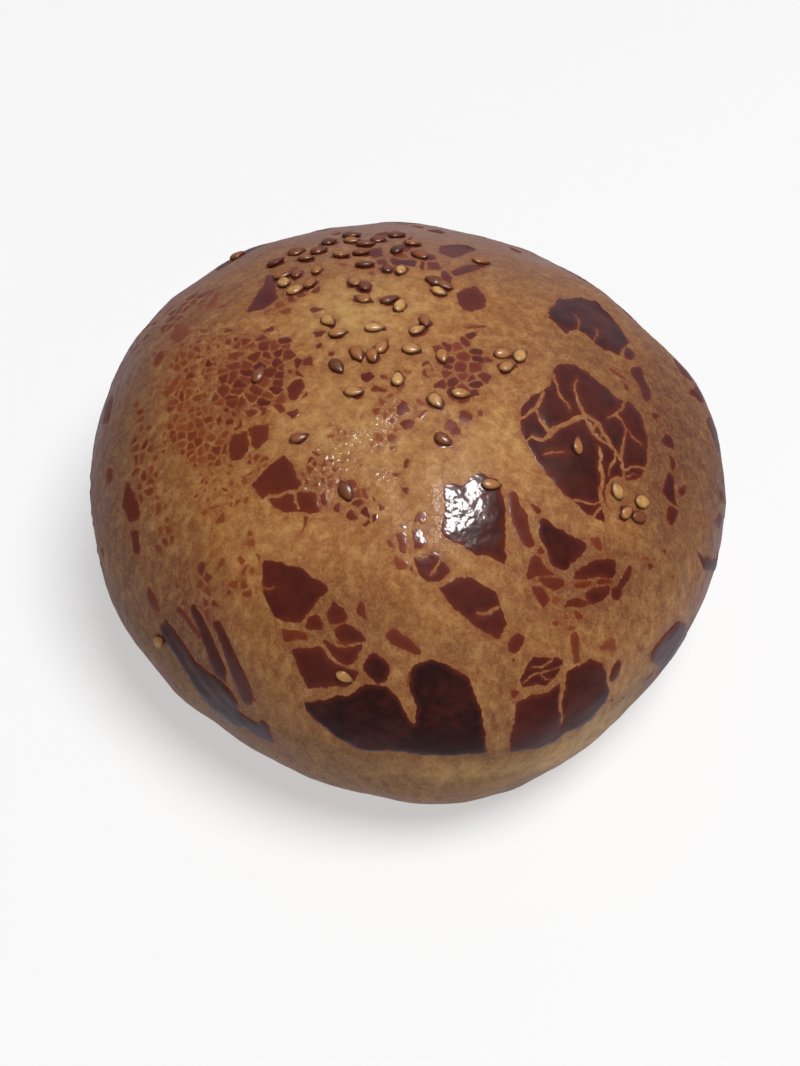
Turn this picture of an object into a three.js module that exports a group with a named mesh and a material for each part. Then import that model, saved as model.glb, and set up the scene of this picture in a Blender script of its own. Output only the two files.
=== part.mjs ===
// A pogaca: a round, soft bread roll with a high dome, sides that draw in below the belly, and a flat foot
// where it sat on the baking sheet. Millimetres, +Z up. The origin is under the middle of the roll, on the
// surface that it rests on, and the front of the roll faces -Y.
import * as THREE from "three";

// Driving dimensions of the even roll, before its unevenness
const bellyRadius = 48;
const height = 58;
const bellyHeight = 25;
const footRadius = 36;
const footEdge = { rise: 2.4, reach: 3.6 }; // how far up and how far in the soft edge of the foot goes
const domeFullness = 2.12; // exponent of the dome's superellipse: 2 is an ellipse, more is fuller
const sideFullness = 2.3; // the same for the sides below the belly

// How the baked roll leans and how its outline swells and sinks
const lean = { x: -1.8, y: -1.3 }; // where the crown has moved to, over the middle of the foot
const waves = [
  { count: 2, swell: 1.35, bearing: -56 },
  { count: 3, swell: 0.8, bearing: 26 },
  { count: 4, swell: 0.4, bearing: 4 },
];
const lumps = [
  { place: "flat at the front right", bearing: -40, height: 14, spread: 14, rise: 12, swell: -1.4 },
  { place: "flat at the front left", bearing: -110, height: 10, spread: 16, rise: 12, swell: -0.7 },
  { place: "fullness at the left", bearing: -150, height: 16, spread: 16, rise: 12, swell: 1.0 },
  { place: "dent at the back right", bearing: 40, height: 36, spread: 10, rise: 12, swell: -0.8 },
  { place: "shoulder at the right", bearing: 16, height: 34, spread: 12, rise: 14, swell: 0.3 },
];

// How finely the surface is divided
const segmentsRound = 80;
const stepsOnDome = 22;
const stepsOnSides = 13;
const stepsOnFootEdge = 4;
const stepsOnFoot = 3;

// One quarter of a superellipse, from its side (share 0) to its top (share 1)
function superellipse(radius, rise, fullness, share) {
  const angle = (share * Math.PI) / 2;
  return [
    radius * Math.cos(angle) ** (2 / fullness),
    rise * Math.sin(angle) ** (2 / fullness),
  ];
}

// The radius of the sides at a height between the foot and the belly
function sideRadius(z) {
  const depth = bellyHeight / (1 - (footRadius / bellyRadius) ** sideFullness) ** (1 / sideFullness);
  return bellyRadius * (1 - ((bellyHeight - z) / depth) ** sideFullness) ** (1 / sideFullness);
}

// Half the roll's section, from the middle of the foot up to the crown
function rollProfile() {
  const points = [];
  const edgeTop = new THREE.Vector2(sideRadius(footEdge.rise), footEdge.rise);
  const edgeCorner = new THREE.Vector2(footRadius, 0);
  const edgeFoot = new THREE.Vector2(footRadius - footEdge.reach, 0);
  for (let i = 0; i < stepsOnFoot; i++) points.push(new THREE.Vector2((edgeFoot.x * i) / stepsOnFoot, 0));
  points.push(...new THREE.QuadraticBezierCurve(edgeFoot, edgeCorner, edgeTop).getPoints(stepsOnFootEdge));
  for (let i = 1; i < stepsOnSides; i++) {
    const z = footEdge.rise + ((bellyHeight - footEdge.rise) * i) / stepsOnSides;
    points.push(new THREE.Vector2(sideRadius(z), z));
  }
  for (let i = 0; i < stepsOnDome; i++) {
    const [r, z] = superellipse(bellyRadius, height - bellyHeight, domeFullness, i / stepsOnDome);
    points.push(new THREE.Vector2(r, bellyHeight + z));
  }
  points.push(new THREE.Vector2(0, height));
  return points;
}

// How much wider the roll is at this bearing and height than the even roll, as a factor
function swelling(bearing, z) {
  let swell = 0;
  for (const wave of waves) {
    swell += wave.swell * Math.cos(wave.count * (bearing - THREE.MathUtils.degToRad(wave.bearing)));
  }
  for (const lump of lumps) {
    const turn = bearing - THREE.MathUtils.degToRad(lump.bearing);
    const aside = Math.atan2(Math.sin(turn), Math.cos(turn)) / THREE.MathUtils.degToRad(lump.spread);
    const above = (z - lump.height) / lump.rise;
    swell += lump.swell * Math.exp(-(aside * aside + above * above) / 2);
  }
  return 1 + swell / bellyRadius;
}

// The even roll turned from its profile, then swelled, leant and set over the origin
function rollGeometry() {
  const geometry = new THREE.LatheGeometry(rollProfile(), segmentsRound);
  geometry.rotateX(Math.PI / 2);
  const position = geometry.getAttribute("position");
  const point = new THREE.Vector3();
  for (let i = 0; i < position.count; i++) {
    point.fromBufferAttribute(position, i);
    const factor = swelling(Math.atan2(point.y, point.x), point.z);
    const upright = point.z / height;
    position.setXYZ(
      i,
      point.x * factor + lean.x * upright,
      point.y * factor + lean.y * upright,
      point.z,
    );
  }
  geometry.computeBoundingBox();
  const middle = geometry.boundingBox.getCenter(new THREE.Vector3());
  geometry.translate(-middle.x, -middle.y, 0);
  geometry.computeVertexNormals();
  return geometry;
}

// Golden brown crust with a thin shine of egg wash
function crustMaterial() {
  return new THREE.MeshStandardMaterial({ color: 0xa06a3c, roughness: 0.5, metalness: 0 });
}

const pogaca = new THREE.Group();
const roll = new THREE.Mesh(rollGeometry(), crustMaterial());
roll.name = "roll";
pogaca.add(roll);

export default pogaca;
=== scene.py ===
import math

import bpy
import numpy as np
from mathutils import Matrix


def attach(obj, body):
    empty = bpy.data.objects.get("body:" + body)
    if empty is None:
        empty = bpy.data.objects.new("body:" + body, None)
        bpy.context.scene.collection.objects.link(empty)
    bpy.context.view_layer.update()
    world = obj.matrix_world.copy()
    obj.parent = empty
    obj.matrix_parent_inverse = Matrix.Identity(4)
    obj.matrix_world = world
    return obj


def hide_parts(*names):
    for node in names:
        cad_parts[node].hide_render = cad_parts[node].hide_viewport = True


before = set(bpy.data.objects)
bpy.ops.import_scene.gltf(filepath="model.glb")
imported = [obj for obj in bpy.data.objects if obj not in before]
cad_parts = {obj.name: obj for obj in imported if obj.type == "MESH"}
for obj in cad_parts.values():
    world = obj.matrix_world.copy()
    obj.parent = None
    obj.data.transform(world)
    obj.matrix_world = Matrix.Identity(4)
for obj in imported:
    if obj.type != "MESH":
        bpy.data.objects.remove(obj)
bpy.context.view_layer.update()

millimetre = 0.001

# The roll's own form is the same as its solid's
roll = {
    "bellyRadius": 48.0,
    "height": 58.0,
    "bellyHeight": 25.0,
    "footRadius": 36.0,
    "footRise": 2.4,  # how far up the soft edge of the foot goes
    "footReach": 3.6,  # and how far in
    "domeFullness": 2.12,
    "sideFullness": 2.3,
    "lean": (-1.8, -1.3),  # where the crown has moved to
    "waves": [(2, 1.35, -56), (3, 0.8, 26), (4, 0.4, 4)],  # count, swell, bearing
    "lumps": [  # bearing, height, spread in degrees, rise, swell
        (-40, 14, 14, 12, -1.4),
        (-110, 10, 16, 12, -0.7),
        (-150, 16, 16, 12, 1.0),
        (40, 36, 10, 12, -0.8),
        (16, 34, 12, 14, 0.3),
    ],
    "samples": (1500, 700, 60, 200),  # points along the dome, the sides, the edge of the foot and the foot
}


def makeProfile():
    # Arc length, radius and height of the profile. Dome: r = R sin(a)^(2/n), z = belly + rise cos(a)^(2/n).
    # Sides: the same kind of curve upside down, r = R (1 - ((belly - z) / depth)^n)^(1/n). Then a quadratic
    # curve round the foot's edge, and the foot.
    belly, radius, foot = roll["bellyHeight"], roll["bellyRadius"], roll["footRadius"]
    ofDome, ofSides, ofEdge, ofFoot = roll["samples"]
    a = np.linspace(0, math.pi / 2, ofDome)
    power = 2 / roll["domeFullness"]
    domeR = radius * np.sin(a) ** power
    domeZ = belly + (roll["height"] - belly) * np.maximum(np.cos(a), 0) ** power
    n = roll["sideFullness"]
    depth = belly / (1 - (foot / radius) ** n) ** (1 / n)
    sideZ = np.linspace(belly, roll["footRise"], ofSides)[1:]
    sideR = radius * (1 - ((belly - sideZ) / depth) ** n) ** (1 / n)
    t = np.linspace(0, 1, ofEdge)[1:]
    edgeR = (1 - t) ** 2 * sideR[-1] + 2 * t * (1 - t) * foot + t**2 * (foot - roll["footReach"])
    edgeZ = (1 - t) ** 2 * roll["footRise"]
    footR = np.linspace(edgeR[-1], 0, ofFoot)[1:]
    r = np.concatenate([domeR, sideR, edgeR, footR])
    z = np.concatenate([domeZ, sideZ, edgeZ, 0 * footR])
    s = np.concatenate([[0], np.cumsum(np.hypot(np.diff(r), np.diff(z)))])
    return s, r, z


profileS, profileR, profileZ = makeProfile()
endOfFoot = profileS[-1]


def evenPlace(s, bearing):
    # The profile turned about the axis, times 1 + swell / R, where the swell is cosine waves round the
    # roll plus Gaussian lumps, and then leant in step with the height.
    r, z = np.interp(s, profileS, profileR), np.interp(s, profileS, profileZ)
    swell = 0
    for count, size, turn in roll["waves"]:
        swell = swell + size * np.cos(count * (bearing - math.radians(turn)))
    for turn, height, spread, rise, size in roll["lumps"]:
        off = bearing - math.radians(turn)
        aside = np.arctan2(np.sin(off), np.cos(off)) / math.radians(spread)
        swell = swell + size * np.exp(-(aside**2 + ((z - height) / rise) ** 2) / 2)
    wide = r * (1 + swell / roll["bellyRadius"])
    upright = z / roll["height"]
    x = wide * np.cos(bearing) + roll["lean"][0] * upright
    y = wide * np.sin(bearing) + roll["lean"][1] * upright
    return np.stack([x, y, z + 0 * x], -1)


def waves3d(points, length, number, terms=16):
    # Sum of sine waves of about one length in random directions, scaled to stay mostly within -1 to 1;
    # another number gives other waves
    rng = np.random.default_rng(number)
    ways = rng.normal(size=(terms, 3))
    ways /= np.linalg.norm(ways, axis=1, keepdims=True)
    ways *= 2 * math.pi / (length * rng.uniform(0.7, 1.5, (terms, 1)))
    phases = rng.uniform(0, 2 * math.pi, terms)
    total = sum(np.sin(points @ way + phase) for way, phase in zip(ways, phases))
    return total / math.sqrt(terms)


relief = {  # what the crust adds to the even form, along its normal
    "waves": [(26.0, 0.28), (9.0, 0.10), (3.2, 0.030)],  # length and height of each kind of random wave
    "bulges": [  # middle, spread and height of the places where the crust bulged, or sank if below 0
        ((43.2, 13.5, 36.4), 3.5, 0.4), ((36.8, 22, 39.3), 4.5, -0.3), ((-43.5, -15.5, 18.6), 4, 0.5),
        ((-48.2, 2.5, 28.5), 6, -0.42), ((-46, 11, 36), 6, -0.3), ((48, -1, 29.5), 6, -0.42),
        ((25, -36, 10.6), 7, 0.42), ((-19, 35.5, 45.5), 6, -0.3), ((-6, 39.5, 45.5), 7, -0.35),
        ((18.6, 35.8, 43), 5, -0.3),
    ],
    "fade": (1.5, 6),  # it grows from nothing at the first height, over the second, so that the foot is flat
}

# The middle of the roll as seen from above; its widest part is well within these arc lengths
sideS = np.linspace(40, 90, 200)
outer = evenPlace(sideS[:, None], np.linspace(-math.pi, math.pi, 721)).reshape(-1, 3)
centre = (outer.max(0) + outer.min(0)) / 2 * [1, 1, 0]


def rollPlace(u, v):
    # The even place at arc length hypot(u, v) and bearing atan2(v, u), with the roll's outline centred
    return evenPlace(np.hypot(u, v), np.arctan2(v, u)) - centre


def rollNormal(u, v, reach=0.05):
    # Cross product of the two finite differences of the place along u and along v
    alongU = rollPlace(u + reach, v) - rollPlace(u - reach, v)
    alongV = rollPlace(u, v + reach) - rollPlace(u, v - reach)
    normal = np.cross(alongU, alongV)
    return normal / np.linalg.norm(normal, axis=-1, keepdims=True)


def unevenness(points):
    # Random waves, plus height * exp(-(distance / spread)^2 / 2) for each bulge, times the fade
    total = 0
    for number, (length, size) in enumerate(relief["waves"]):
        total = total + size * waves3d(points, length, number)
    for middle, spread, height in relief["bulges"]:
        total = total + height * np.exp(-((points - middle) ** 2).sum(-1) / (2 * spread**2))
    start, over = relief["fade"]
    return total * np.clip((points[..., 2] - start) / over, 0, 1)


def onCrust(u, v, lift=0.0):
    # Place plus normal times (unevenness + lift)
    points, normals = rollPlace(u, v), rollNormal(u, v)
    return points + normals * (unevenness(points) + lift)[..., None], normals


def meshPiece(name, points, quads, smooth=True, **attributes):
    # points in millimetres, quads as rows of four indices, where a triangle repeats its last one
    mesh = bpy.data.meshes.new(name)
    size = np.where(quads[:, 2] == quads[:, 3], 3, 4)
    corners = quads[np.arange(4) < size[:, None]]
    mesh.vertices.add(len(points))
    mesh.vertices.foreach_set("co", (points * millimetre).astype(np.float32).ravel())
    mesh.loops.add(len(corners))
    mesh.loops.foreach_set("vertex_index", corners.astype(np.int32))
    mesh.polygons.add(len(quads))
    mesh.polygons.foreach_set("loop_start", np.concatenate([[0], np.cumsum(size)[:-1]]).astype(np.int32))
    mesh.polygons.foreach_set("use_smooth", np.full(len(quads), smooth))
    for key, values in attributes.items():
        mesh.attributes.new(key, "FLOAT", "POINT").data.foreach_set("value", values.astype(np.float32))
    mesh.update(calc_edges=True)
    mesh.validate()
    piece = bpy.data.objects.new(name, mesh)
    bpy.context.scene.collection.objects.link(piece)
    print(f"{name}: {len(points)} vertices, {int((size - 2).sum())} triangles")
    return piece


class Shader:
    # One material's node tree, with short ways to add nodes and join them
    def __init__(self, name):
        self.material = bpy.data.materials.new(name)
        self.material.use_nodes = True
        self.tree = self.material.node_tree
        self.surface = self.tree.nodes["Principled BSDF"]
        self.place = self.add("ShaderNodeTexCoord").outputs["Object"]

    def add(self, kind, **settings):
        node = self.tree.nodes.new(kind)
        for key, value in settings.items():
            setattr(node, key, value)
        return node

    def join(self, value, socket):
        if isinstance(value, bpy.types.NodeSocket):
            self.tree.links.new(value, socket)
        else:
            socket.default_value = value

    def attribute(self, name):
        return self.add("ShaderNodeAttribute", attribute_name=name).outputs["Fac"]

    def noise(self, length, detail=3.0, roughness=0.55, distortion=0.0, upright=1.0):
        # upright: how much longer its spots are from top to bottom
        node = self.add("ShaderNodeTexNoise")
        squeeze = self.add("ShaderNodeVectorMath", operation="MULTIPLY")
        self.join(self.place, squeeze.inputs[0])
        squeeze.inputs[1].default_value = (1, 1, 1 / upright)
        self.join(squeeze.outputs[0], node.inputs["Vector"])
        node.inputs["Scale"].default_value = 1 / (length * millimetre)
        node.inputs["Detail"].default_value = detail
        node.inputs["Roughness"].default_value = roughness
        node.inputs["Distortion"].default_value = distortion
        return node.outputs["Fac"]

    def cells(self, length, feature="F1", shaken=0.0):
        # Voronoi cells; their places are moved by a noise of the same length times shaken millimetres
        node = self.add("ShaderNodeTexVoronoi", feature=feature)
        place = self.place
        if shaken:
            noise = self.add("ShaderNodeTexNoise")
            self.join(self.place, noise.inputs["Vector"])
            noise.inputs["Scale"].default_value = 1 / (length * millimetre)
            move = self.add("ShaderNodeVectorMath", operation="MULTIPLY_ADD")
            self.join(noise.outputs["Color"], move.inputs[0])
            move.inputs[1].default_value = [shaken * millimetre] * 3
            self.join(self.place, move.inputs[2])
            place = move.outputs[0]
        self.join(place, node.inputs["Vector"])
        node.inputs["Scale"].default_value = 1 / (length * millimetre)
        return node.outputs["Distance"]

    def math(self, operation, a, b=0.0, clamp=False):
        node = self.add("ShaderNodeMath", operation=operation, use_clamp=clamp)
        self.join(a, node.inputs[0])
        self.join(b, node.inputs[1])
        return node.outputs[0]

    def spread(self, value, low, high, newLow=0.0, newHigh=1.0):
        node = self.add("ShaderNodeMapRange")
        for socket, number in zip(list(node.inputs)[:5], (value, low, high, newLow, newHigh)):
            self.join(number, socket)
        return node.outputs[0]

    def places(self, name, value, *limits):
        # The attribute times what spread gives, kept between 0 and 1
        return self.math("MULTIPLY", self.attribute(name), self.spread(value, *limits), True)

    def ramp(self, value, stops):
        node = self.add("ShaderNodeValToRGB")
        elements = node.color_ramp.elements
        while len(elements) < len(stops):
            elements.new(0.5)
        for element, (position, colour) in zip(elements, stops):
            element.position = position
            element.color = (*colour, 1)
        self.join(value, node.inputs["Fac"])
        return node.outputs["Color"]

    def mix(self, share, a, b):
        node = self.add("ShaderNodeMix", data_type="RGBA")
        for socket, value in zip((node.inputs[0], node.inputs[6], node.inputs[7]), (share, a, b)):
            self.join((*value, 1) if isinstance(value, tuple) else value, socket)
        return node.outputs[2]

    def bump(self, height, distance, strength=1.0, before=None):
        node = self.add("ShaderNodeBump")
        node.inputs["Strength"].default_value = strength
        node.inputs["Distance"].default_value = distance * millimetre
        self.join(height, node.inputs["Height"])
        if before:
            self.join(before, node.inputs["Normal"])
        return node.outputs["Normal"]

    def finish(self, **sockets):
        for name, value in sockets.items():
            self.join(value, self.surface.inputs[name.replace("_", " ")])
        return self.material


def srgb(red, green, blue):
    # A colour given as 0 to 255 on a screen, as linear light
    values = np.array([red, green, blue]) / 255
    return tuple(np.where(values > 0.04045, ((values + 0.055) / 1.055) ** 2.4, values / 12.92).tolist())


view = {
    "aim": (-1.05, 1.25, 15.18),
    "elevation": 50.0,
    "distance": 350.0,
    "lens": 76.05,
}


def makeCamera():
    # Stands back from the aim point along (0, -cos e, sin e), looking at it
    tilt = math.radians(view["elevation"])
    camera = bpy.data.objects.new("camera", bpy.data.cameras.new("camera"))
    camera.data.lens = view["lens"]
    camera.data.sensor_width = 36
    camera.data.clip_start = 0.01
    back = np.array([0, -math.cos(tilt), math.sin(tilt)]) * view["distance"]
    camera.location = (np.array(view["aim"]) + back) * millimetre
    camera.rotation_euler = (math.pi / 2 - tilt, 0, 0)
    bpy.context.scene.collection.objects.link(camera)
    bpy.context.scene.camera = camera


lights = {  # bearing and elevation in degrees, distance and size in metres, watts, and if it is mirrored
    "window": (-2, 79, 0.75, 0.22, 4.1, True),
    "fill": (-78, 38, 1.3, 1.5, 7.6, False),
    "back": (105, 42, 1.3, 1.8, 3.0, False),
    "ground": (-42, 71, 2.0, 0.95, 43.0, False),
}
lightHeight = 0.03  # all of them turn to a place this high over the floor
stage = {
    "paleness": 0.42,  # of the floor
    "floorGlow": 0.52,
    "halfWidth": 6000,
    "wall": (1800, 1500, 96),  # distance, height and sides of the round wall, which lights nothing
    "wallGlow": 0.74,
    "sky": (0.05, 0.05, 0.055),
    "brightest": (0.22, 0.96, 0.10),
    "layers": [  # over the sky, each from nothing at the first value to this colour at the second
        ("facing", 0.45, 1.0, (0.35, 0.30, 0.36)),  # towards the brightest part
        ("height", -0.06, -0.20, (0.05, 0.05, 0.06)),  # and three below the horizon, for what shines
        ("height", -0.25, -0.60, (0.22, 0.19, 0.20)),
        ("height", -0.58, -0.88, (0.25, 0.29, 0.33)),
    ],
}


def makeLights():
    # The lamp named ground lights the floor alone, and the others light everything but the floor
    for name, (bearing, elevation, distance, size, watts, mirrored) in lights.items():
        turn, tilt = math.radians(bearing), math.radians(elevation)
        lamp = bpy.data.objects.new(name, bpy.data.lights.new(name, "AREA"))
        lamp.data.shape = "DISK"
        lamp.data.size = size
        lamp.data.energy = watts
        way = np.array([math.cos(tilt) * math.cos(turn), math.cos(tilt) * math.sin(turn), math.sin(tilt)])
        lamp.location = way * distance + [0, 0, lightHeight]
        lamp.rotation_euler = (math.pi / 2 - tilt, 0, turn + math.pi / 2)
        lamp.visible_glossy = mirrored
        bpy.context.scene.collection.objects.link(lamp)
        lit = bpy.data.collections.new(name + "Lights")
        lit.objects.link(bpy.data.objects["floor"])
        lit.collection_objects[0].light_linking.link_state = "INCLUDE" if name == "ground" else "EXCLUDE"
        lamp.light_linking.receiver_collection = lit


def joinSky(tree):
    # The sky's colour, mixed with each layer's by how far the way looked at has come from its first value to
    # its second; the way's values are its dot product with the brightest way, and its height
    way = tree.nodes.new("ShaderNodeTexCoord").outputs["Generated"]
    facing = tree.nodes.new("ShaderNodeVectorMath")
    facing.operation = "DOT_PRODUCT"
    facing.inputs[1].default_value = stage["brightest"]
    tree.links.new(way, facing.inputs[0])
    split = tree.nodes.new("ShaderNodeSeparateXYZ")
    tree.links.new(way, split.inputs[0])
    values = {"facing": facing.outputs["Value"], "height": split.outputs["Z"]}
    light = None
    for value, low, high, colour in stage["layers"]:
        share = tree.nodes.new("ShaderNodeMapRange")
        tree.links.new(values[value], share.inputs[0])
        share.inputs[1].default_value, share.inputs[2].default_value = low, high
        mixed = tree.nodes.new("ShaderNodeMix")
        mixed.data_type = "RGBA"
        tree.links.new(share.outputs[0], mixed.inputs[0])
        mixed.inputs[6].default_value, mixed.inputs[7].default_value = (*stage["sky"], 1), (*colour, 1)
        if light:
            tree.links.new(light, mixed.inputs[6])
        light = mixed.outputs[2]
    tree.links.new(light, tree.nodes["Background"].inputs["Color"])


def makeStage():
    # A square floor and an upright round wall, both pale and glowing, in a world that is darker below the
    # horizon, so that what shines mirrors a dim ground
    bpy.context.scene.view_settings.view_transform = "Standard"
    world = bpy.data.worlds.new("studio")
    bpy.context.scene.world = world
    world.use_nodes = True
    joinSky(world.node_tree)

    corners = np.array([[-1, -1, 0], [1, -1, 0], [1, 1, 0], [-1, 1, 0]]) * stage["halfWidth"]
    floor = meshPiece("floor", corners, np.array([[0, 1, 2, 3]]), smooth=False)
    floor.data.materials.append(Shader("floorPaint").finish(
        Base_Color=(*[stage["paleness"]] * 3, 1), Roughness=0.9, Specular_IOR_Level=0.1,
        Emission_Color=(1, 1, 1, 1), Emission_Strength=stage["floorGlow"]))
    floor.visible_glossy = False

    away, tall, sides = stage["wall"]
    turn = np.linspace(0, 2 * math.pi, sides, endpoint=False)
    ring = np.stack([np.cos(turn), np.sin(turn), 0 * turn], -1) * away
    one = np.arange(sides)
    after = (one + 1) % sides
    wall = meshPiece("backdrop", np.concatenate([ring, ring + [0, 0, tall]]),
                     np.stack([one, one + sides, after + sides, after], -1))
    wall.data.materials.append(Shader("wallPaint").finish(
        Base_Color=(0, 0, 0, 1), Specular_IOR_Level=0.0,
        Emission_Color=(1, 1, 1, 1), Emission_Strength=stage["wallGlow"]))
    wall.visible_diffuse = wall.visible_glossy = wall.visible_shadow = False


makeCamera()
makeStage()
makeLights()
print("camera, lights and floor are in place")

poleGap = 1e-3  # the crust's two end points are this far from the axis, where its normal isn't defined
crust = {  # the places below are rows of centre, half sizes and strength
    "round": 462,
    "ringsAbove": 186,  # from the crown to the edge of the foot
    "ringsBelow": 26,  # across the foot
    "browningAndShade": [  # where the crust is browner, or golden if below 0; the browner patches along the roll's left and right sides and far rim are partly painted shade, and the golden ones low on the right partly painted light
        ((-22, -4), (10, 10), 0.5), ((-46, 2), (12, 34), 0.62), ((-22, 32), (24, 10), 0.62),
        ((22, 36), (24, 9), 0.5), ((41, -10), (9, 26), 0.85), ((28, -33), (10, 7), 0.6),
        ((26, 2), (6, 8), 0.25), ((-14, 17), (6, 5), 0.45), ((8, -4), (5, 7), 0.3),
        ((60, 4), (12, 26), 0.6), ((-28, 14), (10, 8), 0.45), ((-38, -42), (7, 14), 0.5),
        ((-9, -41), (8, 6), 0.45), ((0, 60), (40, 14), 0.5), ((-62, 24), (14, 30), 0.5),
        ((-14, -24), (8, 4), 0.3), ((-2, 8), (13, 9), -0.6), ((12, -16), (8, 8), -0.4),
        ((-9, -14), (9, 7), -0.4), ((-1, -22), (6, 6), -0.25), ((30, -26), (7, 3), -0.4),
        ((-20, -30), (9, 4), -0.3), ((15.5, -56), (3, 7), 0.55), ((6, -45), (8, 4), 0.25),
        ((44, -58), (14, 10), -1.0), ((32, -64), (10, 5), -0.8), ((6, -66), (16, 2.5), -0.5),
        ((-8, -50), (26, 9), 0.2), ((-54, -20), (9, 40), 0.12), ((58, -12), (8, 20), 0.35),
        ((30, 2), (16, 22), 0.26), ((14, 22), (16, 8), 0.35), ((24, -28), (10, 14), 0.3),
        ((23, -58), (4, 7), 0.25), ((-16, -66), (14, 5), 0.3), ((-34, -60), (10, 6), 0.3),
        ((2, -18), (16, 14), 0.05), ((16, -42), (9, 9), 0.22), ((12, 6), (14, 12), 0.16),
        ((-50, -34), (10, 18), 0.15), ((-14, -43), (8, 8), 0.2), ((-32, -56), (8, 6), 0.22),
        ((-48, -56), (7, 6), 0.25), ((-8, 6), (7, 8), -0.55), ((-18, -14), (10, 9), -0.25),
        ((-44, -44), (10, 14), 0.12), ((-10, -72), (16, 6), 0.15), ((18, -66), (14, 6), -0.2),
        ((50, -38), (10, 14), -0.15),
    ],
    "reddened": [  # where a little wash stained the crust
        ((-21, -4), (8, 9), 0.8), ((-29, -6), (9, 12), 0.45), ((-10, -24), (7, 4), 0.3),
        ((27, -34), (8, 5), 0.3), ((-30, -36), (8, 10), 0.6), ((9, -4), (4, 7), 0.35),
        ((-14, -30), (12, 5), 0.35), ((-4, -38), (7, 5), 0.25), ((-36, -34), (2.5, 5), 0.5),
        ((-12, -22), (7, 4), 0.3), ((0, -12), (3, 7), 0.2), ((-34, -18), (8, 12), 0.2),
        ((25, -36), (7, 4), 0.4), ((24, -40), (5, 3), 0.3),
    ],
    "wet": [  # where a trace of wash glints
        ((-8, -17), (3.6, 4.5), 1.0), ((-2.5, -13.5), (2, 3.5), 0.8), ((-13, -22), (4, 3.5), 1.0),
        ((-2, -21), (2.5, 2.5), 0.5), ((4.8, -26), (1.2, 3.5), 0.5), ((15.5, -30), (2.5, 3), 0.35),
        ((30, -57), (12, 4), 0.3), ((2, -49), (8, 3), 0.4), ((19, -12), (3, 5), 0.4),
    ],
    "paintedSheen": [  # painted sheen: a grey-purple veil painted on the crust, standing in for the reflection of the bright surroundings at the rim
        ((-2, 40), (44, 15), 0.7), ((-46, 22), (10, 16), 0.1), ((24, 31), (5, 2.6), 0.45),
    ],
    "washFade": 1.6,  # over how much arc length the wash ends
    "washLine": [  # bearing and arc length below which there is no wash
        (-180, 64), (-140, 63), (-118, 64.5), (-104, 62.2), (-78, 62.2), (-60, 65), (-44, 66), (-20, 72),
        (60, 70), (180, 64),
    ],
}


def spots(u, v, rows):
    # Each row is a centre, two half sizes and a strength: the sum of strength * exp(-(du / a)^2 - (dv / b)^2)
    return sum(strength * np.exp(-(((u - cu) / a) ** 2 + ((v - cv) / b) ** 2))
               for (cu, cv), (a, b), strength in rows)


def ringFaces(rings, turns, turnedOver=False):
    # Faces between neighbouring rings of points, then triangles from the first ring to one point and from the
    # last ring to another, which come after all the rings
    index = np.arange(rings * turns).reshape(rings, turns)
    after = np.roll(index, -1, axis=1)
    pole = np.full(turns, rings * turns)
    sides = np.stack([index[:-1], index[1:], after[1:], after[:-1]], -1).reshape(-1, 4)
    first = np.stack([pole, index[0], after[0]], -1)
    last = np.stack([pole + 1, after[-1], index[-1]], -1)
    ends = np.concatenate([first, last])
    if turnedOver:
        sides, ends = sides[:, [0, 3, 2, 1]], ends[:, [0, 2, 1]]
    return np.concatenate([sides, ends[:, [0, 1, 2, 2]]])


def makeCrust(washGrids):
    # Polar grid over (arc length, bearing), with one vertex at the crown and one under the foot
    edge = profileS[profileZ > 0][-1]
    above = np.linspace(0, edge, crust["ringsAbove"] + 1)[1:]
    below = np.linspace(edge, endOfFoot, crust["ringsBelow"] + 1)[1:-1]
    s = np.concatenate([above, below])
    bearing = np.linspace(0, 2 * math.pi, crust["round"], endpoint=False)
    u, v = s[:, None] * np.cos(bearing), s[:, None] * np.sin(bearing)
    ends = np.array([poleGap, endOfFoot - poleGap])
    u, v = np.concatenate([u.ravel(), ends]), np.concatenate([v.ravel(), 0 * ends])
    points, _ = onCrust(u, v)
    line = np.interp(np.degrees(np.arctan2(v, u)), *np.array(crust["washLine"], float).T)
    looks = {key: spots(u, v, crust[key]) for key in ("browningAndShade", "reddened", "wet", "paintedSheen")}
    looks["goldenAndLight"] = np.clip(-looks["browningAndShade"], 0, 1)
    looks["bare"] = np.clip((np.hypot(u, v) - line) / crust["washFade"] + 0.5, 0, 1)
    looks["stained"] = stainAt(u, v, washGrids)
    return meshPiece("crust", points, ringFaces(len(s), crust["round"]), **looks)


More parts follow.
